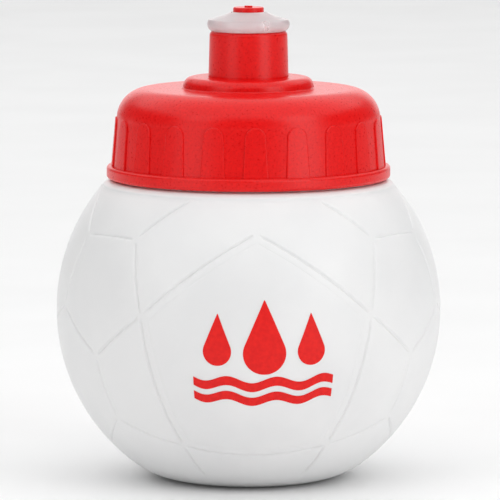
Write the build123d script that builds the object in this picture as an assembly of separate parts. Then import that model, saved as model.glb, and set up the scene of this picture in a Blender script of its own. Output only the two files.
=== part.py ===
from build123d import *
from math import acos, asin, cos, degrees, radians, sin, sqrt
import os

# Ball-shaped sports squeeze bottle with a screw lid and a push-pull drinking valve.
# Millimetres. +Z is up, the origin is the centre of the base on the surface that the bottle
# stands on, and -Y is the front, where the large print panel is.

# Ball-shaped body
ball_radius = 51.0
base_cut = 6.0
wall = 1.2
base_edge_radius = 22.0
pushup_radius = 14.0
pushup_rise = 2.2
shoulder_latitude = 40.5
shoulder_rise = 1.5
shoulder_line_depth = 0.3
shoulder_line_width = 0.8

# Moulded seams of the ball panels: angles seen from the centre of the ball
panel_turn = 2.6
panel_tilt = -8.7
front_panel_angle = 38.0
side_panel_angle = 19.7
rear_ring_angle = 111.0
rear_panel_angle = 21.0
pole_panel_angle = 20.0
seam_gap_angle = 1.4
seam_depth = 0.3
seam_width = 1.0
seam_low_latitude = -52.0
seam_gap_below_line = 1.6
seam_samples = 90
seam_least_share = 0.1

# Neck and its thread
neck_radius = 31.9
neck_height = 17.8
neck_fillet = 1.4
lip_fillet = 0.4
thread_pitch = 4.5
thread_turns = 1.5
thread_base = 2.0
thread_crest = 1.1
thread_depth = 1.3
thread_start_above_shoulder = 6.9
thread_root_sink = 0.3
thread_relief = 0.1

# Screw lid and the gasket under its top
lid_clearance = 0.4
skirt_bore_clearance = 0.4
flange_width = 4.0
flange_height = 3.3
flange_round = 0.8
skirt_foot_wall = 2.4
skirt_top_wall = 1.3
dome_radius = 8.0
lid_wall = 2.0
lid_top_above_seat = 5.1
gasket_thickness = 1.2
gasket_seat_margin = 0.7
gasket_seat_depth = 3.0
gasket_side_clearance = 0.1
gasket_width = 2.9
keeper_wall = 1.0
keeper_depth = 3.0
keeper_clearance = 0.2
boss_radius = 17.3
boss_height = 3.0
boss_round = 2.4
boss_foot_fillet = 0.5

# Raised finger grips round the skirt
grip_count = 20
grip_turn = 3.0
grip_height = 0.4
grip_top_width = 5.4
grip_foot_width = 6.6
grip_top_level = 13.0
grip_edge_round = 0.25

# Collar, plug post and the drinking valve that slides between them
collar_bore_radius = 8.9
collar_foot_wall = 1.7
collar_top_wall = 1.4
collar_height = 12.1
collar_round = 1.0
collar_lip_width = 0.4
collar_lip_height = 1.5
plug_radius = 4.06
plug_above_mouth = 1.2
plug_head_height = 4.4
plug_chamfer = 0.2
post_radius = 3.4
post_core_radius = 2.0
gate_nub_radius = 1.06
gate_nub_height = 0.4
port_count = 4
port_angle = 60.0
port_inner_radius = 4.9
port_margin = 0.6
valve_travel = 6.0
valve_gap = 0.1
valve_stop_gap = 0.05
valve_slide_clearance = 0.08
bead_clearance = 0.06
mouth_clearance = 0.06
valve_wall = 1.2
valve_sleeve_below_rim = 9.4
bead_height = 1.7
rim_foot_overhang = 1.0
rim_overhang = 2.0
rim_bulge_height = 1.6
rim_shoulder_overhang = 1.6
rim_shoulder_height = 3.0
rim_mouth_width = 0.58
rim_mouth_height = 5.0
crown_dip = 0.25
mouth_length = 2.5
mouth_cone_slope = 0.8

# Levels that follow from the sizes above
ball_height = ball_radius - base_cut
ball_centre = Vector(0, 0, ball_height)
shoulder_line_level = ball_height + ball_radius * sin(radians(shoulder_latitude))
shoulder_level = shoulder_line_level + shoulder_rise
lip_level = shoulder_level + neck_height
lid_level = shoulder_level + lid_clearance
flange_top_level = lid_level + flange_height
gasket_seat_level = lip_level + gasket_thickness
lid_top_level = gasket_seat_level + lid_top_above_seat
boss_top_level = lid_top_level + boss_height
collar_top_level = boss_top_level + collar_height
collar_lip_level = collar_top_level - collar_lip_height
bead_top_level = collar_lip_level - valve_travel - valve_stop_gap
lid_under_level = lid_top_level - lid_wall
floor_under_level = boss_top_level - lid_wall
valve_rim_level = collar_top_level + valve_gap
mouth_level = valve_rim_level + rim_mouth_height
plug_top_level = mouth_level + plug_above_mouth
neck_thread_level = shoulder_level + thread_start_above_shoulder
lid_thread_level = neck_thread_level - thread_pitch / 2

# Radii that follow from the sizes above
neck_crest_radius = neck_radius + thread_depth
skirt_bore_radius = neck_crest_radius + skirt_bore_clearance
skirt_foot_radius = skirt_bore_radius + skirt_foot_wall
skirt_top_radius = skirt_bore_radius + skirt_top_wall
flange_radius = skirt_bore_radius + flange_width
lid_crest_radius = skirt_bore_radius - thread_depth + thread_relief
gasket_seat_radius = neck_radius + gasket_seat_margin
gasket_radius = gasket_seat_radius - gasket_side_clearance
gasket_inner_radius = gasket_radius - gasket_width
collar_foot_radius = collar_bore_radius + collar_foot_wall
collar_top_radius = collar_bore_radius + collar_top_wall
collar_lip_radius = collar_bore_radius - collar_lip_width
valve_sleeve_radius = collar_lip_radius - valve_slide_clearance
valve_bead_radius = collar_bore_radius - bead_clearance
valve_bore_radius = valve_sleeve_radius - valve_wall
mouth_radius = plug_radius + mouth_clearance


def revolved(*edges):
    """Solid of revolution about Z of the closed outline that edges drawn as (radius, height) make."""
    outline = Curve() + list(edges)
    return revolve(make_face(Plane.XZ * outline), Axis.Z)


def arc_about(centre, radius, start, end):
    """Arc in (radius, height) about centre, between two angles in degrees above the horizontal."""
    def point(angle):
        return (
            centre[0] + radius * cos(radians(angle)),
            centre[1] + radius * sin(radians(angle)),
        )

    return ThreePointArc(point(start), point((start + end) / 2), point(end))


# Body of the bottle


def bottle_form(inset, top):
    """Ball, flattened base, shoulder and neck, all drawn inset by one distance, up to top."""
    base_edge_centre_radius = sqrt(
        (ball_radius - base_edge_radius) ** 2 - (ball_height - base_edge_radius) ** 2
    )
    base_join = -degrees(acos(base_edge_centre_radius / (ball_radius - base_edge_radius)))
    pushup_form_radius = (pushup_radius**2 + pushup_rise**2) / (2 * pushup_rise)
    pushup_centre = pushup_rise - pushup_form_radius
    pushup_edge = degrees(asin((inset - pushup_centre) / (pushup_form_radius + inset)))
    pushup = arc_about((0, pushup_centre), pushup_form_radius + inset, 90, pushup_edge)
    base_edge = arc_about(
        (base_edge_centre_radius, base_edge_radius), base_edge_radius - inset, -90, base_join
    )
    ball = arc_about((0, ball_height), ball_radius - inset, base_join, shoulder_latitude)
    shoulder_radius = (shoulder_level - shoulder_line_level) / (1 - sin(radians(shoulder_latitude)))
    shoulder_centre_radius = (ball_radius - shoulder_radius) * cos(radians(shoulder_latitude))
    shoulder = arc_about(
        (shoulder_centre_radius, shoulder_level - shoulder_radius),
        shoulder_radius - inset,
        shoulder_latitude,
        90,
    )
    fillet_centre = (neck_radius + neck_fillet, shoulder_level + neck_fillet)
    neck_foot = arc_about(fillet_centre, neck_fillet + inset, 270, 180)
    neck_top = (neck_radius - inset, top)
    return revolved(
        pushup,
        Line(pushup @ 1, base_edge @ 0),
        base_edge,
        ball,
        shoulder,
        Line(shoulder @ 1, neck_foot @ 0),
        neck_foot,
        Line(neck_foot @ 1, neck_top),
        Line(neck_top, (0, top)),
        Line((0, top), pushup @ 0),
    )


def panel_direction(polar, bearing):
    """Unit vector from the ball centre, by angle from the front panel's middle and bearing round it."""
    tilt = radians(panel_tilt)
    turn = radians(panel_turn)
    polar = radians(polar)
    bearing = radians(bearing)
    across = sin(polar) * sin(bearing)
    up = sin(polar) * cos(bearing)
    front = cos(polar)
    forward = front * cos(tilt) - up * sin(tilt)
    height = front * sin(tilt) + up * cos(tilt)
    return Vector(
        across * cos(turn) + forward * sin(turn),
        across * sin(turn) - forward * cos(turn),
        height,
    )


def panel_corner(ring_polar, ring_bearing, circumradius, corner_bearing):
    """Corner of a pentagon panel, as (polar, bearing) of the net; corner_bearing 0 points away
    from the front panel."""
    ring = radians(ring_polar)
    size = radians(circumradius)
    way = radians(corner_bearing)
    polar = acos(cos(ring) * cos(size) - sin(ring) * sin(size) * cos(way))
    swing = asin(sin(size) * sin(way) / sin(polar))
    return degrees(polar), ring_bearing + degrees(swing)


def seam_net():
    """Pairs of unit vectors, one pair for each seam of the ball."""
    sides = 5
    fifth = 360 / sides
    ring_polar = front_panel_angle + side_panel_angle
    seams = []
    for k in range(sides):
        here = k * fifth
        rear = here + fifth / 2
        front = (front_panel_angle, here)
        next_front = (front_panel_angle, here + fifth)
        side_left = panel_corner(ring_polar, here, side_panel_angle, -1.5 * fifth)
        side_right = panel_corner(ring_polar, here, side_panel_angle, 1.5 * fifth)
        next_left = panel_corner(ring_polar, here + fifth, side_panel_angle, -1.5 * fifth)
        far_left = panel_corner(ring_polar, here, side_panel_angle, -0.5 * fifth)
        far_right = panel_corner(ring_polar, here, side_panel_angle, 0.5 * fifth)
        next_far_left = panel_corner(ring_polar, here + fifth, side_panel_angle, -0.5 * fifth)
        near_left = panel_corner(rear_ring_angle, rear, rear_panel_angle, -2 * fifth)
        near_right = panel_corner(rear_ring_angle, rear, rear_panel_angle, 2 * fifth)
        back_left = panel_corner(rear_ring_angle, rear, rear_panel_angle, -fifth)
        back_right = panel_corner(rear_ring_angle, rear, rear_panel_angle, fifth)
        next_back_left = panel_corner(rear_ring_angle, rear + fifth, rear_panel_angle, -fifth)
        rear_tip = (rear_ring_angle + rear_panel_angle, rear)
        pole = (180 - pole_panel_angle, rear)
        next_pole = (180 - pole_panel_angle, rear + fifth)
        seams += [
            (front, next_front),
            (front, side_left),
            (front, side_right),
            (side_right, next_left),
            (side_left, far_left),
            (side_right, far_right),
            (far_left, far_right),
            (far_right, near_left),
            (next_far_left, near_right),
            (near_left, near_right),
            (near_left, back_left),
            (near_right, back_right),
            (back_right, next_back_left),
            (back_left, rear_tip),
            (back_right, rear_tip),
            (rear_tip, pole),
            (pole, next_pole),
        ]
    return [(panel_direction(*a), panel_direction(*b)) for a, b in seams]


def seam_span(start, end):
    """The stretch of a seam that shows, as angles from start along its great circle, or None."""
    normal = start.cross(end).normalized()
    along = normal.cross(start)
    whole = start.get_angle(end)
    lowest = sin(radians(seam_low_latitude))
    highest = sin(radians(shoulder_latitude - seam_gap_below_line))
    shown = []
    for i in range(seam_samples + 1):
        angle = seam_gap_angle + (whole - 2 * seam_gap_angle) * i / seam_samples
        height = start.Z * cos(radians(angle)) + along.Z * sin(radians(angle))
        if lowest < height < highest:
            shown.append(angle)
    if len(shown) < seam_samples * seam_least_share:
        return None
    return normal, shown[0], shown[-1]


def seam_cutters():
    """One round-bottomed cutter along the great circle of each seam."""
    cutter_radius = (seam_width**2 / 4 + seam_depth**2) / (2 * seam_depth)
    path_radius = ball_radius + cutter_radius - seam_depth
    cutters = []
    for start, end in seam_net():
        span = seam_span(start, end)
        if span:
            normal, first, last = span
            plane = Plane(ball_centre, x_dir=start, z_dir=normal)
            section = Plane.XZ * Pos(path_radius, 0) * Circle(cutter_radius)
            groove = revolve(section, Axis.Z, revolution_arc=last - first)
            cutters.append(plane * Rot(0, 0, first) * groove)
    return cutters


def shoulder_line_cutter():
    """Shallow round-bottomed line where the ball gives way to the shoulder."""
    cutter_radius = (shoulder_line_width**2 / 4 + shoulder_line_depth**2) / (2 * shoulder_line_depth)
    path_radius = ball_radius + cutter_radius - shoulder_line_depth
    level = ball_height + path_radius * sin(radians(shoulder_latitude))
    return Pos(0, 0, level) * Torus(path_radius * cos(radians(shoulder_latitude)), cutter_radius)


def helical_rib(root_radius, crest_radius, level):
    """Screw thread: a trapezoid rib from root to crest that winds up from level."""
    path = Helix(thread_pitch, thread_pitch * thread_turns, root_radius, center=(0, 0, level))
    reach = crest_radius - root_radius
    section = make_face(
        Polyline(
            (0, -thread_base / 2),
            (reach, -thread_crest / 2),
            (reach, thread_crest / 2),
            (0, thread_base / 2),
            close=True,
        )
    )
    frame = Plane(path @ 0, x_dir=(1, 0, 0), z_dir=-(path % 0))
    return sweep(frame * section, path=path, is_frenet=True)


def bottle_body():
    body = bottle_form(0, lip_level) - bottle_form(wall, lip_level + wall)
    body = fillet(body.edges().group_by(Axis.Z)[-1], lip_fillet)
    body -= shoulder_line_cutter()
    for cutter in seam_cutters():
        body -= cutter
    return body + helical_rib(neck_radius - thread_root_sink, neck_crest_radius, neck_thread_level)


# Screw lid


def lid_shell():
    """Flange, tapered skirt, domed top, boss, collar tube and the post that plugs the valve."""
    flange_lower = (flange_radius - flange_round, lid_level + flange_round)
    flange_upper = (flange_radius - flange_round, flange_top_level - flange_round)
    dome_centre = (skirt_top_radius - dome_radius, lid_top_level - dome_radius)
    boss_corner = (boss_radius - boss_round, boss_top_level - boss_round)
    boss_foot = (boss_radius + boss_foot_fillet, lid_top_level + boss_foot_fillet)
    collar_corner = (collar_top_radius - collar_round, collar_top_level - collar_round)
    plug_foot_level = plug_top_level - plug_head_height
    keeper_outer = gasket_inner_radius - keeper_clearance
    keeper_inner = keeper_outer - keeper_wall
    keeper_level = gasket_seat_level - keeper_depth
    seat_foot_level = gasket_seat_level - gasket_seat_depth

    flange_bottom_round = arc_about(flange_lower, flange_round, -90, 0)
    flange_top_round = arc_about(flange_upper, flange_round, 0, 90)
    dome = arc_about(dome_centre, dome_radius, 0, 90)
    boss_foot_round = arc_about(boss_foot, boss_foot_fillet, 270, 180)
    boss_edge = arc_about(boss_corner, boss_round, 0, 90)
    collar_edge = arc_about(collar_corner, collar_round, 0, 90)
    outside = [
        flange_bottom_round,
        Line(flange_bottom_round @ 1, flange_top_round @ 0),
        flange_top_round,
        Polyline(flange_top_round @ 1, (skirt_foot_radius, flange_top_level), dome @ 0),
        dome,
        Line(dome @ 1, boss_foot_round @ 0),
        boss_foot_round,
        Line(boss_foot_round @ 1, boss_edge @ 0),
        boss_edge,
        Polyline(boss_edge @ 1, (collar_foot_radius, boss_top_level), collar_edge @ 0),
        collar_edge,
    ]
    collar_and_post = Polyline(
        collar_edge @ 1,
        (collar_lip_radius, collar_top_level),
        (collar_lip_radius, collar_lip_level),
        (collar_bore_radius, collar_lip_level),
        (collar_bore_radius, boss_top_level),
        (post_radius, boss_top_level),
        (post_radius, plug_foot_level - (plug_radius - post_radius)),
        (plug_radius, plug_foot_level),
        (plug_radius, plug_top_level - plug_chamfer),
        (plug_radius - plug_chamfer, plug_top_level),
        (gate_nub_radius, plug_top_level),
        (gate_nub_radius, plug_top_level + gate_nub_height),
        (0, plug_top_level + gate_nub_height),
    )
    underside = Polyline(
        (0, plug_top_level + gate_nub_height),
        (0, plug_foot_level),
        (post_core_radius, plug_foot_level),
        (post_core_radius, floor_under_level),
        (boss_radius - lid_wall - boss_round, floor_under_level),
        (boss_radius - lid_wall, lid_under_level),
        (keeper_inner, lid_under_level),
        (keeper_inner, keeper_level),
        (keeper_outer, keeper_level),
        (keeper_outer, gasket_seat_level),
        (gasket_seat_radius, gasket_seat_level),
        (gasket_seat_radius, seat_foot_level + (skirt_bore_radius - gasket_seat_radius)),
        (skirt_bore_radius, seat_foot_level),
        (skirt_bore_radius, lid_level),
        flange_bottom_round @ 0,
    )
    return revolved(*outside, collar_and_post, underside)


def grip_band():
    """Cone that stands grip_height proud of the skirt, from inside the flange to above the grips."""
    inner_radius = (skirt_bore_radius + skirt_top_radius) / 2
    cone_height = lid_top_level - dome_radius - flange_top_level
    taper = (skirt_foot_radius - skirt_top_radius) / cone_height
    band_foot = flange_top_level - flange_round
    band_top = flange_top_level + grip_top_level + grip_height

    def surface(level):
        return skirt_foot_radius + grip_height - taper * (level - flange_top_level), level

    return revolved(
        Polyline(
            (inner_radius, band_foot),
            surface(band_foot),
            surface(band_top),
            (inner_radius, band_top),
            close=True,
        )
    )


def grips():
    """Tongues with round tops, wider at the foot, cut from the grip band and softened at the edge."""
    top_radius = grip_top_width / 2
    spring_level = grip_top_level - top_radius
    outline = [
        Polyline(
            (-top_radius, spring_level),
            (-grip_foot_width / 2, -flange_round),
            (grip_foot_width / 2, -flange_round),
            (top_radius, spring_level),
        ),
        ThreePointArc((top_radius, spring_level), (0, grip_top_level), (-top_radius, spring_level)),
    ]
    front = Plane((0, 0, flange_top_level), x_dir=(1, 0, 0), z_dir=(0, -1, 0))
    prism = extrude(front * make_face(Curve() + outline), flange_radius)
    tongue = grip_band() & prism
    face = tongue.faces().sort_by(Axis.Y)[0]
    tongue = fillet(face.edges().sort_by(Axis.Z)[1:], grip_edge_round)
    return [Rot(0, 0, grip_turn + k * 360 / grip_count) * tongue for k in range(grip_count)]


def collar_slice(radius, angle, height):
    """Slice of a cylinder, centred on its axis."""
    return Rot(0, 0, -angle / 2) * Cylinder(radius, height, arc_size=angle)


def flow_ports():
    """Openings through the floor of the collar, between the ribs that carry the post."""
    height = 2 * lid_wall
    port = collar_slice(collar_bore_radius - port_margin, port_angle, height)
    port -= Cylinder(port_inner_radius, height)
    middle = (boss_top_level + floor_under_level) / 2
    return [Pos(0, 0, middle) * Rot(0, 0, k * 360 / port_count) * port for k in range(port_count)]


def screw_lid():
    lid = lid_shell()
    for grip in grips():
        lid += grip
    lid += helical_rib(skirt_bore_radius + thread_root_sink, lid_crest_radius, lid_thread_level)
    for port in flow_ports():
        lid -= port
    return lid


# Pieces that seal


def lid_gasket():
    return revolved(
        Polyline(
            (gasket_inner_radius, lip_level),
            (gasket_radius, lip_level),
            (gasket_radius, gasket_seat_level),
            (gasket_inner_radius, gasket_seat_level),
            close=True,
        )
    )


def pull_valve():
    """Drinking valve: a sleeve with a stop bead, and a rim with a mouth that the plug closes."""
    sleeve_foot = valve_rim_level - valve_sleeve_below_rim
    bead_foot = bead_top_level - bead_height
    bead_step = valve_bead_radius - valve_sleeve_radius
    rim_foot = (collar_bore_radius + rim_foot_overhang, valve_rim_level)
    rim_widest = (collar_bore_radius + rim_overhang, valve_rim_level + rim_bulge_height)
    rim_shoulder = (collar_bore_radius + rim_shoulder_overhang, valve_rim_level + rim_shoulder_height)
    rim_side = ThreePointArc(rim_foot, rim_widest, rim_shoulder)
    crown_end = (mouth_radius + rim_mouth_width, mouth_level)
    crown_middle = (
        (rim_shoulder[0] + crown_end[0]) / 2,
        (rim_shoulder[1] + mouth_level) / 2 - crown_dip,
    )
    crown = ThreePointArc(rim_shoulder, crown_middle, crown_end)
    inner_cone_foot = mouth_level - mouth_length - (valve_bore_radius - mouth_radius) * mouth_cone_slope
    body = Polyline(
        crown_end,
        (mouth_radius, mouth_level),
        (mouth_radius, mouth_level - mouth_length),
        (valve_bore_radius, inner_cone_foot),
        (valve_bore_radius, sleeve_foot),
        (valve_sleeve_radius, sleeve_foot),
        (valve_sleeve_radius, bead_foot - bead_step),
        (valve_bead_radius, bead_foot),
        (valve_bead_radius, bead_top_level - bead_step),
        (valve_sleeve_radius, bead_top_level),
        (valve_sleeve_radius, valve_rim_level),
        rim_foot,
    )
    return revolved(rim_side, crown, body)


os.makedirs("parts", exist_ok=True)
pieces = {
    "bottle_body": bottle_body,
    "screw_lid": screw_lid,
    "lid_gasket": lid_gasket,
    "pull_valve": pull_valve,
}
for name, make in pieces.items():
    export_step(make(), f"parts/{name}.step")
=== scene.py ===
"""Looks of the ball-shaped sports squeeze bottle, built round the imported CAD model. Metres."""

from math import acos, asin, atan2, cos, degrees, pi, radians, sin, sqrt

import bmesh
import bpy
import numpy as np
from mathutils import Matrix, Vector


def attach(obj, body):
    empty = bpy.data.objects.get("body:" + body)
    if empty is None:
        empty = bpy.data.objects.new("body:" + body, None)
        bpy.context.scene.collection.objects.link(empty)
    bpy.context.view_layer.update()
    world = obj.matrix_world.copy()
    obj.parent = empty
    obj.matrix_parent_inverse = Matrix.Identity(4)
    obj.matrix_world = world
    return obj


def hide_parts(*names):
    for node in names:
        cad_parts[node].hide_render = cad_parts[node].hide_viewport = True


MM = 0.001

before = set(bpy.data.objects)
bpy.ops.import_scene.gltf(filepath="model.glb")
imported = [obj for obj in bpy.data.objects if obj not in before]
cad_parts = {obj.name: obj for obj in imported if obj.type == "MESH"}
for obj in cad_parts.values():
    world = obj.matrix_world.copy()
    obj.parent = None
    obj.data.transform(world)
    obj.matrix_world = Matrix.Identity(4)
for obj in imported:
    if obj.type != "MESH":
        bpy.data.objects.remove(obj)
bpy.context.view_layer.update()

# Body of the bottle, as in the CAD model; latitudes in degrees
BALL_RADIUS = 51.0 * MM
BALL_HEIGHT = 45.0 * MM
WALL = 1.2 * MM
BASE_EDGE_RADIUS = 22.0 * MM
PUSHUP_RADIUS = 14.0 * MM
PUSHUP_RISE = 2.2 * MM
SHOULDER_LATITUDE = 40.5
SHOULDER_RISE = 1.5 * MM
NECK_RADIUS = 31.9 * MM
NECK_FILLET = 1.4 * MM
LIP_HEIGHT = 97.42 * MM
LIP_ROUND = 0.4 * MM
THREAD_PITCH = 4.5 * MM
THREAD_TURNS = 1.5
THREAD_DEPTH = 1.3 * MM
THREAD_BASE = 2.0 * MM
THREAD_CREST = 1.1 * MM
THREAD_START = 86.5 * MM
THREAD_END_TURN = 0.04

# Where the body differs from the CAD model: a shallower shoulder line and a plainer inner wall
SHOULDER_LINE_DEPTH = 0.25 * MM
SHOULDER_LINE_HALF_WIDTH = 0.45 * MM
INNER_SHOULDER_WIDTH = 4.0 * MM
INNER_BASE_LATITUDE = -62.0

# How fine the body's mesh is
BODY_TURNS = 200
BALL_STEP = 1.6 * MM
SHOULDER_STEP = 0.2 * MM
NECK_STEP = 0.25 * MM
LIP_STEP = 0.1 * MM
INNER_NECK_STEP = 4.0 * MM
INNER_BALL_STEP = 3.0 * MM

# How near counts as the same point, on the plane of a cut, on the axis and on the ball
SAME_PLACE = 1e-6
CUT_TOLERANCE = 1e-7
ON_AXIS = 1e-7
ON_BALL = 0.02 * MM

# Ball panels: angles in degrees, seen from the centre of the ball
PANEL_TURN = 2.6
PANEL_TILT = -8.7
FRONT_PANEL_ANGLE = 38.0
SIDE_PANEL_ANGLE = 19.7
REAR_RING_ANGLE = 111.0
REAR_PANEL_ANGLE = 21.0
POLE_PANEL_ANGLE = 20.0

# Grooves. Seams are counted in the order of seam_net, and the unmarked ones are left smooth.
SEAMS_IN_A_FIFTH = 17
UNMARKED_SEAMS = (1, 2)
SEAM_SAMPLES = 90
SEAM_LEAST_SHARE = 0.1
SEAM_GAP_ANGLE = 1.7
SEAM_END_FADE = 0.8
SEAM_DEPTH = 0.42 * MM
SEAM_HALF_WIDTH = 0.55 * MM
SEAM_LOW_LATITUDE = -52.0
SEAM_GAP_BELOW_LINE = 1.6
BORDER_INSET_ANGLE = 2.5
BORDER_CORNER_ANGLE = 1.9
BORDER_DEPTH = 0.07 * MM
BORDER_HALF_WIDTH = 0.35 * MM
GROOVE_REACH_ANGLE = 3.0
GROOVE_CUTS = (-1.15, -0.8, -0.4, 0, 0.4, 0.8, 1.15)

# Printed mark on the front panel: three water drops over two waves. Sizes on the mark are plain
# millimetres from its middle, and a drop is its middle (x, y), its radius and the level of its tip.
MARK_BEARING = 4.7
MARK_LATITUDE = -5.2
INK_HEIGHT = 0.06 * MM
DROPS = [(0.0, -0.6, 5.6, 13.8), (-12.6, -0.2, 3.9, 10.2), (12.6, -0.2, 3.9, 10.2)]
DROP_FOOT_ANGLE = -88
DROP_ROUND_ROWS = 30
DROP_TIP_ROWS = 12
DROP_TIP_SHARES = (0.08, 0.98)
DROP_COLUMNS = 9
WAVE_LEVELS = [-9.0, -13.3]
WAVE_HALF_LENGTH = 19.5
WAVE_LENGTH = 13.0
WAVE_HEIGHT = 0.9
WAVE_BAND = 2.6
WAVE_COLUMNS = 91
WAVE_ROWS = 5

# Studio: a dim room with a bright backdrop behind the bottle. The edge is where the backdrop begins and
# where it is fully bright, by the Y part of a unit direction. Metres, watts and millimetres of lens.
ROOM_LIGHT = 0.14
BACKDROP_LIGHT = 1.5
BACKDROP_EDGE = (0.84, 0.98)
FLOOR_HALF_SIZE = 4.0
OVERHEAD_HEIGHT = 1.8
OVERHEAD_BEHIND = 0.4
OVERHEAD_SIZE = (5.2, 5.2)
OVERHEAD_POWER = 94.0
SIDE_LIGHT_PLACE = (0.67, -0.60, 0.35)
SIDE_LIGHT_TARGET = (0, 0, 0.07)
SIDE_LIGHT_SIZE = (0.50, 0.80)
RIGHT_POWER = 2.6
LEFT_POWER = 1.3
CAMERA_LENS = 357.6
CAMERA_SENSOR = 36.0
CAMERA_PLACE = (0.0004, -1.310, 0.2186)
CAMERA_TARGET = (0.0004, 0, 0.0605)

# Part of the noise's range that drives roughness
NOISE_LOW = 0.3
NOISE_HIGH = 0.7


# Mesh helpers


def new_object(name, data):
    """A new object in the scene that shows a mesh, a light or a camera."""
    obj = bpy.data.objects.new(name, data)
    bpy.context.scene.collection.objects.link(obj)
    return obj


def finished_mesh(bm, name):
    """Mesh made from a bmesh, which is then freed."""
    mesh = bpy.data.meshes.new(name)
    bm.to_mesh(mesh)
    bm.free()
    return mesh


def arc_points(centre, radius, start, end, step):
    """Points (radius, height) on an arc, both ends included, about step apart."""
    count = max(2, int(abs(radians(end - start)) * radius / step) + 1)
    angles = [radians(start + (end - start) * i / count) for i in range(count + 1)]
    return [(centre[0] + radius * cos(a), centre[1] + radius * sin(a)) for a in angles]


def line_points(a, b, step):
    """Points on a straight line, both ends included, about step apart."""
    length = sqrt((b[0] - a[0]) ** 2 + (b[1] - a[1]) ** 2)
    count = max(1, round(length / step))
    return [
        (a[0] + (b[0] - a[0]) * i / count, a[1] + (b[1] - a[1]) * i / count)
        for i in range(count + 1)
    ]


def joined(*runs):
    """Runs of points end to end, without the repeated ones."""
    points = []
    for run in runs:
        for x, y in run:
            if not points or (x - points[-1][0]) ** 2 + (y - points[-1][1]) ** 2 > SAME_PLACE**2:
                points.append((x, y))
    return points


def lathe(profile, turns):
    """bmesh of revolution of an open profile whose ends may lie on the axis."""
    bm = bmesh.new()
    angles = [2 * pi * k / turns for k in range(turns)]
    rows = []
    for radius, height in profile:
        if radius < ON_AXIS:
            rows.append([bm.verts.new((0, 0, height))])
        else:
            rows.append([bm.verts.new((radius * cos(a), radius * sin(a), height)) for a in angles])
    for low, high in zip(rows, rows[1:]):
        for k in range(turns):
            n = (k + 1) % turns
            if len(low) == 1:
                bm.faces.new((low[0], high[n], high[k]))
            elif len(high) == 1:
                bm.faces.new((low[k], low[n], high[0]))
            else:
                bm.faces.new((low[k], low[n], high[n], high[k]))
    return bm


# The net of seams on the ball


def panel_direction(polar, bearing):
    """Unit vector from the ball centre, by angle from the front panel's middle and bearing round it."""
    tilt, turn, polar, bearing = (radians(a) for a in (PANEL_TILT, PANEL_TURN, polar, bearing))
    across = sin(polar) * sin(bearing)
    up = sin(polar) * cos(bearing)
    front = cos(polar)
    forward = front * cos(tilt) - up * sin(tilt)
    return Vector(
        (
            across * cos(turn) + forward * sin(turn),
            across * sin(turn) - forward * cos(turn),
            front * sin(tilt) + up * cos(tilt),
        )
    )


def panel_corner(ring_polar, ring_bearing, circumradius, corner_bearing):
    """Corner of a pentagon panel, as (polar, bearing); corner_bearing 0 points away from the front."""
    ring, size, way = (radians(a) for a in (ring_polar, circumradius, corner_bearing))
    polar = acos(cos(ring) * cos(size) - sin(ring) * sin(size) * cos(way))
    return degrees(polar), ring_bearing + degrees(asin(sin(size) * sin(way) / sin(polar)))


def seam_net():
    """Pairs of unit vectors, one pair for each seam of the ball.

    Five side panels each have one corner on a corner of the front panel. Behind them, five rear
    panels each have one corner straight away from the front. A panel's own corners are given by
    their bearing round its middle, 72 degrees apart.
    """
    fifth = 360 / 5
    ring_polar = FRONT_PANEL_ANGLE + SIDE_PANEL_ANGLE
    seams = []
    for k in range(5):
        here = k * fifth
        rear = here + fifth / 2
        front = (FRONT_PANEL_ANGLE, here)
        next_front = (FRONT_PANEL_ANGLE, here + fifth)
        side_left, side_right, far_left, far_right = (
            panel_corner(ring_polar, here, SIDE_PANEL_ANGLE, way) for way in (-108, 108, -36, 36)
        )
        next_left, next_far_left = (
            panel_corner(ring_polar, here + fifth, SIDE_PANEL_ANGLE, way) for way in (-108, -36)
        )
        near_left, near_right, back_left, back_right = (
            panel_corner(REAR_RING_ANGLE, rear, REAR_PANEL_ANGLE, way) for way in (-144, 144, -72, 72)
        )
        next_back_left = panel_corner(REAR_RING_ANGLE, rear + fifth, REAR_PANEL_ANGLE, -72)
        rear_tip = (REAR_RING_ANGLE + REAR_PANEL_ANGLE, rear)
        pole = (180 - POLE_PANEL_ANGLE, rear)
        next_pole = (180 - POLE_PANEL_ANGLE, rear + fifth)
        seams += [
            (front, next_front),
            (front, side_left),
            (front, side_right),
            (side_right, next_left),
            (side_left, far_left),
            (side_right, far_right),
            (far_left, far_right),
            (far_right, near_left),
            (next_far_left, near_right),
            (near_left, near_right),
            (near_left, back_left),
            (near_right, back_right),
            (back_right, next_back_left),
            (back_left, rear_tip),
            (back_right, rear_tip),
            (rear_tip, pole),
            (pole, next_pole),
        ]
    return [(panel_direction(*a), panel_direction(*b)) for a, b in seams]


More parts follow.
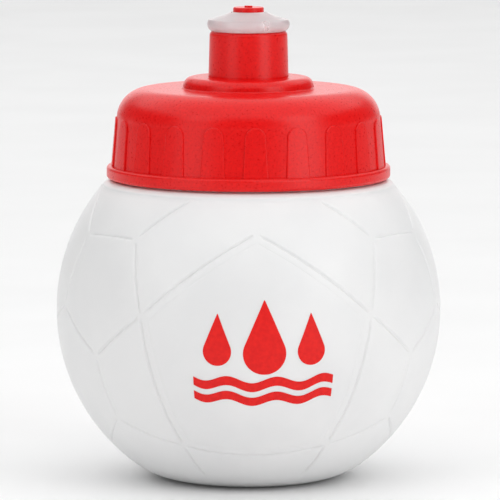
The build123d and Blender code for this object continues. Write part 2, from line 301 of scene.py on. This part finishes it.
def grooves():
    """Every groove as (start, along, normal, first, last, off, depth, half_width).

    start, along and normal are unit vectors of the great circle, first and last are angles along
    it from start, and off is how far beside it the groove runs. The seams come with a faint
    border line inside the front panel.
    """
    lowest = sin(radians(SEAM_LOW_LATITUDE))
    highest = sin(radians(SHOULDER_LATITUDE - SEAM_GAP_BELOW_LINE))
    gap = radians(SEAM_GAP_ANGLE)
    corner = radians(BORDER_CORNER_ANGLE)
    panel_middle = panel_direction(0, 0)
    found = []
    for number, (start, end) in enumerate(seam_net()):
        normal = start.cross(end).normalized()
        along = normal.cross(start)
        whole = start.angle(end)
        angles = [gap + (whole - 2 * gap) * i / SEAM_SAMPLES for i in range(SEAM_SAMPLES + 1)]
        shown = [a for a in angles if lowest < start.z * cos(a) + along.z * sin(a) < highest]
        if len(shown) > SEAM_LEAST_SHARE * SEAM_SAMPLES and number not in UNMARKED_SEAMS:
            found.append((start, along, normal, shown[0], shown[-1], 0.0, SEAM_DEPTH, SEAM_HALF_WIDTH))
        if number % SEAMS_IN_A_FIFTH == 0:
            off = BALL_RADIUS * radians(BORDER_INSET_ANGLE)
            if panel_middle.dot(normal) < 0:
                off = -off
            found.append(
                (start, along, normal, corner, whole - corner, off, BORDER_DEPTH, BORDER_HALF_WIDTH)
            )
    return found


def groove_shape(distance, half_width):
    """Share of the full depth at a distance from the middle of a groove: a smooth round-edged valley."""
    x = np.clip(np.abs(distance) / half_width, 0, 1)
    return 0.5 + 0.5 * np.cos(pi * x)


def groove_depths(directions, found):
    """Depth of the grooves at each unit direction from the ball centre."""
    depth = np.zeros(len(directions))
    fade = radians(SEAM_END_FADE)
    for start, along, normal, first, last, off, deepest, half_width in found:
        beside = BALL_RADIUS * np.arcsin(np.clip(directions @ np.array(normal), -1, 1)) - off
        angle = np.arctan2(directions @ np.array(along), directions @ np.array(start))
        inside = np.clip((angle - first) / fade + 0.5, 0, 1) * np.clip((last - angle) / fade + 0.5, 0, 1)
        depth = np.maximum(depth, deepest * groove_shape(beside, half_width) * inside)
    return depth


def cut_along_grooves(bm, found):
    """Cuts the mesh by planes along each groove, at shares of its half width from its middle."""
    centre = Vector((0, 0, BALL_HEIGHT))
    reach = radians(GROOVE_REACH_ANGLE)
    for start, along, normal, first, last, off, _, half_width in found:
        near = []
        middle = sin(off / BALL_RADIUS)
        for face in bm.faces:
            d = (face.calc_center_median() - centre).normalized()
            if abs(d.dot(normal) - middle) < sin(reach):
                angle = atan2(d.dot(along), d.dot(start))
                if first - reach < angle < last + reach:
                    near.append(face)
        geom = list(set(near) | {e for f in near for e in f.edges} | {v for f in near for v in f.verts})
        for share in GROOVE_CUTS:
            place = centre + normal * (BALL_RADIUS * middle + half_width * share)
            cut = bmesh.ops.bisect_plane(
                bm, geom=geom, dist=CUT_TOLERANCE, plane_co=place, plane_no=normal
            )
            geom = cut["geom"]


# Outlines of the body, as (radius, height)


def outer_profile(step):
    """The bottle's outside from the middle of the base up to the shoulder line."""
    edge_centre = sqrt((BALL_RADIUS - BASE_EDGE_RADIUS) ** 2 - (BALL_HEIGHT - BASE_EDGE_RADIUS) ** 2)
    join = -degrees(acos(edge_centre / (BALL_RADIUS - BASE_EDGE_RADIUS)))
    pushup_radius = (PUSHUP_RADIUS**2 + PUSHUP_RISE**2) / (2 * PUSHUP_RISE)
    pushup_angle = degrees(asin((pushup_radius - PUSHUP_RISE) / pushup_radius))
    pushup = arc_points((0, PUSHUP_RISE - pushup_radius), pushup_radius, 90, pushup_angle, step)
    base = line_points((PUSHUP_RADIUS, 0), (edge_centre, 0), step)
    edge = arc_points((edge_centre, BASE_EDGE_RADIUS), BASE_EDGE_RADIUS, -90, join, step)
    ball = arc_points((0, BALL_HEIGHT), BALL_RADIUS, join, SHOULDER_LATITUDE, step)
    return joined(pushup, base, edge, ball)


def shoulder_profile(step):
    """From the shoulder line over the shoulder to the top of the fillet at the neck's foot."""
    latitude = radians(SHOULDER_LATITUDE)
    radius = SHOULDER_RISE / (1 - sin(latitude))
    centre_radius = (BALL_RADIUS - radius) * cos(latitude)
    level = BALL_HEIGHT + BALL_RADIUS * sin(latitude) + SHOULDER_RISE
    shoulder = arc_points((centre_radius, level - radius), radius, SHOULDER_LATITUDE, 90, step)
    fillet = arc_points((NECK_RADIUS + NECK_FILLET, level + NECK_FILLET), NECK_FILLET, 270, 180, step)
    return joined(shoulder, fillet)


def neck_profile():
    """Neck, lip and the inner wall down to the middle of the base."""
    foot = shoulder_profile(SHOULDER_STEP)[-1]
    bore = NECK_RADIUS - WALL
    top = LIP_HEIGHT - LIP_ROUND
    neck = line_points(foot, (NECK_RADIUS, top), NECK_STEP)
    outer_lip = arc_points((NECK_RADIUS - LIP_ROUND, top), LIP_ROUND, 0, 90, LIP_STEP)
    inner_lip = arc_points((bore + LIP_ROUND, top), LIP_ROUND, 90, 180, LIP_STEP)
    inside = line_points((bore, top), (bore, foot[1]), INNER_NECK_STEP)
    inner_radius = BALL_RADIUS - WALL
    inner_latitude = degrees(acos((bore + INNER_SHOULDER_WIDTH) / inner_radius))
    ball = arc_points(
        (0, BALL_HEIGHT), inner_radius, inner_latitude, INNER_BASE_LATITUDE, INNER_BALL_STEP
    )
    base = line_points(ball[-1], (0, PUSHUP_RISE + WALL), INNER_BALL_STEP)
    return joined(neck, outer_lip, inner_lip, inside, ball, base)


def thread_height(angle, height):
    """Share of the thread's full depth at an angle round the axis and a height."""
    share = 0.0
    for whole in range(int(THREAD_TURNS) + 1):
        turn = angle / (2 * pi) + whole
        if turn <= THREAD_TURNS:
            off = abs(height - THREAD_START - THREAD_PITCH * turn)
            rib = np.clip((THREAD_BASE / 2 - off) / ((THREAD_BASE - THREAD_CREST) / 2), 0, 1)
            ends = min(turn, THREAD_TURNS - turn) / THREAD_END_TURN
            share = max(share, rib * min(1.0, ends))
    return share


def raise_thread(bm):
    """Moves the neck's outer points out where the thread's rib is."""
    for v in bm.verts:
        r = sqrt(v.co.x**2 + v.co.y**2)
        if abs(r - NECK_RADIUS) < SAME_PLACE:
            angle = atan2(v.co.y, v.co.x) % (2 * pi)
            rise = THREAD_DEPTH * thread_height(angle, v.co.z)
            v.co.x *= (r + rise) / r
            v.co.y *= (r + rise) / r


def make_bottle():
    """The blow-moulded body: grooved ball outside, shoulder, threaded neck, and the inner wall."""
    bm = lathe(joined(outer_profile(BALL_STEP), shoulder_profile(SHOULDER_STEP)), BODY_TURNS)
    found = grooves()
    cut_along_grooves(bm, found)
    neck = lathe(neck_profile(), BODY_TURNS)
    raise_thread(neck)
    bm.from_mesh(finished_mesh(neck, "neck"))
    bmesh.ops.remove_doubles(bm, verts=bm.verts, dist=SAME_PLACE)
    bmesh.ops.recalc_face_normals(bm, faces=bm.faces)
    mesh = finished_mesh(bm, "bottle")
    sink_grooves(mesh, found)
    mesh.shade_smooth()
    return new_object("bottle_skin", mesh)


def sink_grooves(mesh, found):
    """Moves the outer ball's points in by the depth of the seams and of the shoulder line."""
    co = np.zeros(len(mesh.vertices) * 3)
    mesh.vertices.foreach_get("co", co)
    co = co.reshape(-1, 3)
    centre = np.array([0, 0, BALL_HEIGHT])
    out = co - centre
    radius = np.linalg.norm(out, axis=1)
    direction = out / radius[:, None]
    on_ball = np.abs(radius - BALL_RADIUS) < ON_BALL
    latitude = np.arcsin(np.clip(direction[:, 2], -1, 1))
    above_line = BALL_RADIUS * (latitude - radians(SHOULDER_LATITUDE))
    line = SHOULDER_LINE_DEPTH * groove_shape(above_line, SHOULDER_LINE_HALF_WIDTH)
    depth = np.where(on_ball, np.maximum(groove_depths(direction, found), line), 0)
    co -= direction * depth[:, None]
    mesh.vertices.foreach_set("co", co.ravel())
    mesh.update()


# The printed mark


def ink_point(x, y):
    """Point on top of the ink, at a place in millimetres from the mark's middle."""
    bearing = radians(MARK_BEARING)
    latitude = radians(MARK_LATITUDE)
    middle = Vector((cos(latitude) * sin(bearing), -cos(latitude) * cos(bearing), sin(latitude)))
    across = Vector((cos(bearing), sin(bearing), 0))
    up = across.cross(-middle)
    direction = (middle + (across * x + up * y) * (MM / BALL_RADIUS)).normalized()
    return Vector((0, 0, BALL_HEIGHT)) + direction * (BALL_RADIUS + INK_HEIGHT)


def ink_patch(bm, rows):
    """Adds a sheet of faces through rows of (x, y) points, all rows with as many points."""
    grid = [[bm.verts.new(ink_point(*p)) for p in row] for row in rows]
    for low, high in zip(grid, grid[1:]):
        for k in range(len(low) - 1):
            bm.faces.new((low[k], low[k + 1], high[k + 1], high[k]))


def drop_rows(x, y, radius, tip):
    """A drop: round about (x, y), drawn out to a point at the height tip."""
    lean = degrees(asin(radius / (tip - y)))
    edge = [
        (radius * cos(radians(a)), y + radius * sin(radians(a)))
        for a in np.linspace(DROP_FOOT_ANGLE, lean, DROP_ROUND_ROWS)
    ]
    foot = edge[-1]
    edge += [
        (foot[0] * (1 - t), foot[1] + (tip - foot[1]) * t)
        for t in np.linspace(*DROP_TIP_SHARES, DROP_TIP_ROWS)
    ]
    across = np.linspace(-1, 1, DROP_COLUMNS)
    return [[(x + half * c, level) for c in across] for half, level in edge]


def wave_rows(level):
    """A wavy band of even height about a level, cut off upright at both ends."""
    across = np.linspace(-WAVE_HALF_LENGTH, WAVE_HALF_LENGTH, WAVE_COLUMNS)
    return [
        [(x, level + WAVE_HEIGHT * sin(2 * pi * x / WAVE_LENGTH) + WAVE_BAND * t) for x in across]
        for t in np.linspace(-0.5, 0.5, WAVE_ROWS)
    ]


def make_mark():
    """The printed mark, a thin sheet just above the front panel."""
    bm = bmesh.new()
    for drop in DROPS:
        ink_patch(bm, drop_rows(*drop))
    for level in WAVE_LEVELS:
        ink_patch(bm, wave_rows(level))
    mesh = finished_mesh(bm, "mark")
    mesh.shade_smooth()
    return new_object("printed_mark", mesh)


# Materials


def node_material(name):
    """A new material, with its nodes, its links and its main shader."""
    material = bpy.data.materials.new(name)
    material.use_nodes = True
    nodes = material.node_tree.nodes
    return material, nodes, material.node_tree.links, nodes["Principled BSDF"]


def add_noise(nodes, links, scale, detail=2.0, roughness=0.5):
    """Noise in object space, so that it keeps its real size."""
    coordinates = nodes.new("ShaderNodeTexCoord")
    noise = nodes.new("ShaderNodeTexNoise")
    noise.inputs["Scale"].default_value = scale
    noise.inputs["Detail"].default_value = detail
    noise.inputs["Roughness"].default_value = roughness
    links.new(coordinates.outputs["Object"], noise.inputs["Vector"])
    return noise


def two_tones(nodes, links, shader, noise, dark, light, low=0.35, high=0.65):
    """Colours the shader from dark to light as the noise goes from low to high."""
    ramp = nodes.new("ShaderNodeValToRGB")
    ramp.color_ramp.elements[0].position = low
    ramp.color_ramp.elements[0].color = (*dark, 1)
    ramp.color_ramp.elements[1].position = high
    ramp.color_ramp.elements[1].color = (*light, 1)
    links.new(noise.outputs["Fac"], ramp.inputs["Fac"])
    links.new(ramp.outputs["Color"], shader.inputs["Base Color"])


def vary_roughness(nodes, links, shader, noise, low, high):
    """Lets the shader's roughness follow the noise from low to high."""
    remap = nodes.new("ShaderNodeMapRange")
    remap.inputs["From Min"].default_value = NOISE_LOW
    remap.inputs["From Max"].default_value = NOISE_HIGH
    remap.inputs["To Min"].default_value = low
    remap.inputs["To Max"].default_value = high
    links.new(noise.outputs["Fac"], remap.inputs["Value"])
    links.new(remap.outputs["Result"], shader.inputs["Roughness"])


def add_bump(nodes, links, shader, noise, strength, distance):
    """Fine relief by the noise, with its height in metres."""
    bump = nodes.new("ShaderNodeBump")
    bump.inputs["Strength"].default_value = strength
    bump.inputs["Distance"].default_value = distance
    links.new(noise.outputs["Fac"], bump.inputs["Height"])
    links.new(bump.outputs["Normal"], shader.inputs["Normal"])


def milky_plastic():
    """Milky low-density polyethylene, satin from the blow mould."""
    material, nodes, links, shader = node_material("milky_ldpe")
    cloud = add_noise(nodes, links, scale=45, detail=3)
    two_tones(nodes, links, shader, cloud, dark=(0.83, 0.832, 0.835), light=(0.87, 0.87, 0.87))
    satin = add_noise(nodes, links, scale=500, detail=2)
    vary_roughness(nodes, links, shader, satin, low=0.36, high=0.46)
    shader.inputs["Subsurface Weight"].default_value = 0.2
    shader.inputs["Subsurface Radius"].default_value = (1.0, 1.0, 1.0)
    shader.inputs["Subsurface Scale"].default_value = 0.002
    shader.inputs["IOR"].default_value = 1.51
    add_bump(nodes, links, shader, satin, strength=0.12, distance=0.0001)
    return material


def red_ink():
    """Screen-printing ink, with a faint unevenness."""
    material, nodes, links, shader = node_material("red_ink")
    grain = add_noise(nodes, links, scale=900, detail=3)
    two_tones(nodes, links, shader, grain, dark=(0.76, 0.005, 0.004), light=(0.84, 0.010, 0.007))
    vary_roughness(nodes, links, shader, grain, low=0.45, high=0.55)
    shader.inputs["Specular IOR Level"].default_value = 0.3
    add_bump(nodes, links, shader, grain, strength=0.1, distance=0.00005)
    return material


def lid_plastic():
    """Red injection-moulded polyethylene with a fine spark-eroded texture."""
    material, nodes, links, shader = node_material("red_polyethylene")
    grain = add_noise(nodes, links, scale=1500, detail=3, roughness=0.6)
    dark, light = (0.70, 0.001, 0.002), (0.85, 0.005, 0.004)
    two_tones(nodes, links, shader, grain, dark, light, low=0.3, high=0.7)
    vary_roughness(nodes, links, shader, grain, low=0.26, high=0.36)
    shader.inputs["Specular IOR Level"].default_value = 0.32
    shader.inputs["IOR"].default_value = 1.51
    add_bump(nodes, links, shader, grain, strength=0.22, distance=0.00012)
    return material


def valve_plastic():
    """Natural polyethylene, see-through and a little cloudy, with a painted pink tint that stands in for
    the red lid seen through it.
    """
    material, nodes, links, shader = node_material("natural_ldpe_painted_pink")
    cloud = add_noise(nodes, links, scale=260, detail=3)
    # Painted pink: both tones carry a red tint standing in for light from the red lid inside; the noise
    # between them is real cloudiness
    two_tones(nodes, links, shader, cloud, dark=(0.96, 0.86, 0.87), light=(1.0, 0.92, 0.93))
    vary_roughness(nodes, links, shader, cloud, low=0.26, high=0.36)
    shader.inputs["Transmission Weight"].default_value = 0.58
    shader.inputs["IOR"].default_value = 1.40
    add_bump(nodes, links, shader, cloud, strength=0.05, distance=0.0002)
    return material


def foam():
    """Closed-cell foam of the lid gasket."""
    material, nodes, links, shader = node_material("closed_cell_foam")
    cells = add_noise(nodes, links, scale=2200, detail=2)
    two_tones(nodes, links, shader, cells, dark=(0.66, 0.66, 0.63), light=(0.80, 0.80, 0.77))
    vary_roughness(nodes, links, shader, cells, low=0.75, high=0.95)
    add_bump(nodes, links, shader, cells, strength=0.4, distance=0.0002)
    return material


def table_paint():
    """Pale matt paint of the floor."""
    material, nodes, links, shader = node_material("pale_table")
    grain = add_noise(nodes, links, scale=12, detail=2)
    two_tones(nodes, links, shader, grain, dark=(0.92, 0.92, 0.92), light=(0.94, 0.94, 0.94))
    shader.inputs["Roughness"].default_value = 0.8
    return material


def paint(obj, material):
    """Gives an object one material in place of those it has."""
    obj.data.materials.clear()
    obj.data.materials.append(material)


# Stage


def make_floor():
    """The surface that the bottle stands on."""
    bm = bmesh.new()
    bmesh.ops.create_grid(bm, x_segments=1, y_segments=1, size=FLOOR_HALF_SIZE)
    floor = new_object("floor", finished_mesh(bm, "floor"))
    paint(floor, table_paint())


def make_world():
    """A dim white room that is bright in the direction behind the bottle."""
    world = bpy.data.worlds.new("studio")
    bpy.context.scene.world = world
    world.use_nodes = True
    nodes = world.node_tree.nodes
    links = world.node_tree.links
    direction = nodes.new("ShaderNodeTexCoord")
    parts = nodes.new("ShaderNodeSeparateXYZ")
    links.new(direction.outputs["Generated"], parts.inputs["Vector"])
    backdrop = nodes.new("ShaderNodeMapRange")
    backdrop.interpolation_type = "SMOOTHSTEP"
    backdrop.inputs["From Min"].default_value = BACKDROP_EDGE[0]
    backdrop.inputs["From Max"].default_value = BACKDROP_EDGE[1]
    backdrop.inputs["To Min"].default_value = ROOM_LIGHT
    backdrop.inputs["To Max"].default_value = BACKDROP_LIGHT
    links.new(parts.outputs["Y"], backdrop.inputs["Value"])
    links.new(backdrop.outputs["Result"], nodes["Background"].inputs["Strength"])
    nodes["Background"].inputs["Color"].default_value = (1, 1, 1, 1)


def aim(obj, place, target):
    """Puts an object at a place and points it at a target."""
    obj.location = place
    obj.rotation_euler = (Vector(target) - Vector(place)).to_track_quat("-Z", "Y").to_euler()


def soft_light(name, place, target, size, power):
    """A rectangular light of a width and height in metres and a power in watts."""
    light = bpy.data.lights.new(name, "AREA")
    light.shape = "RECTANGLE"
    light.size, light.size_y = size
    light.energy = power
    aim(new_object(name, light), place, target)


def make_lights():
    """One large light overhead, reaching behind the bottle, and one from the front on each side."""
    overhead = (0, OVERHEAD_BEHIND, OVERHEAD_HEIGHT)
    below = (0, OVERHEAD_BEHIND, 0)
    soft_light("overhead", overhead, below, OVERHEAD_SIZE, OVERHEAD_POWER)
    across, forward, up = SIDE_LIGHT_PLACE
    for name, side, power in (("right", 1, RIGHT_POWER), ("left", -1, LEFT_POWER)):
        place = (side * across, forward, up)
        soft_light(name, place, SIDE_LIGHT_TARGET, SIDE_LIGHT_SIZE, power)


def make_camera():
    """A long lens from the front, a little above the bottle."""
    camera = bpy.data.cameras.new("camera")
    camera.lens = CAMERA_LENS
    camera.sensor_width = CAMERA_SENSOR
    obj = new_object("camera", camera)
    aim(obj, CAMERA_PLACE, CAMERA_TARGET)
    bpy.context.scene.camera = obj


bottle = make_bottle()
paint(bottle, milky_plastic())
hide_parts("bottle_body")
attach(bottle, "bottle")

mark = make_mark()
paint(mark, red_ink())
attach(mark, "bottle")

paint(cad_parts["screw_lid"], lid_plastic())
paint(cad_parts["pull_valve"], valve_plastic())
paint(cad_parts["lid_gasket"], foam())

make_floor()
make_world()
make_lights()
make_camera()
bpy.context.scene.view_settings.view_transform = "Standard"
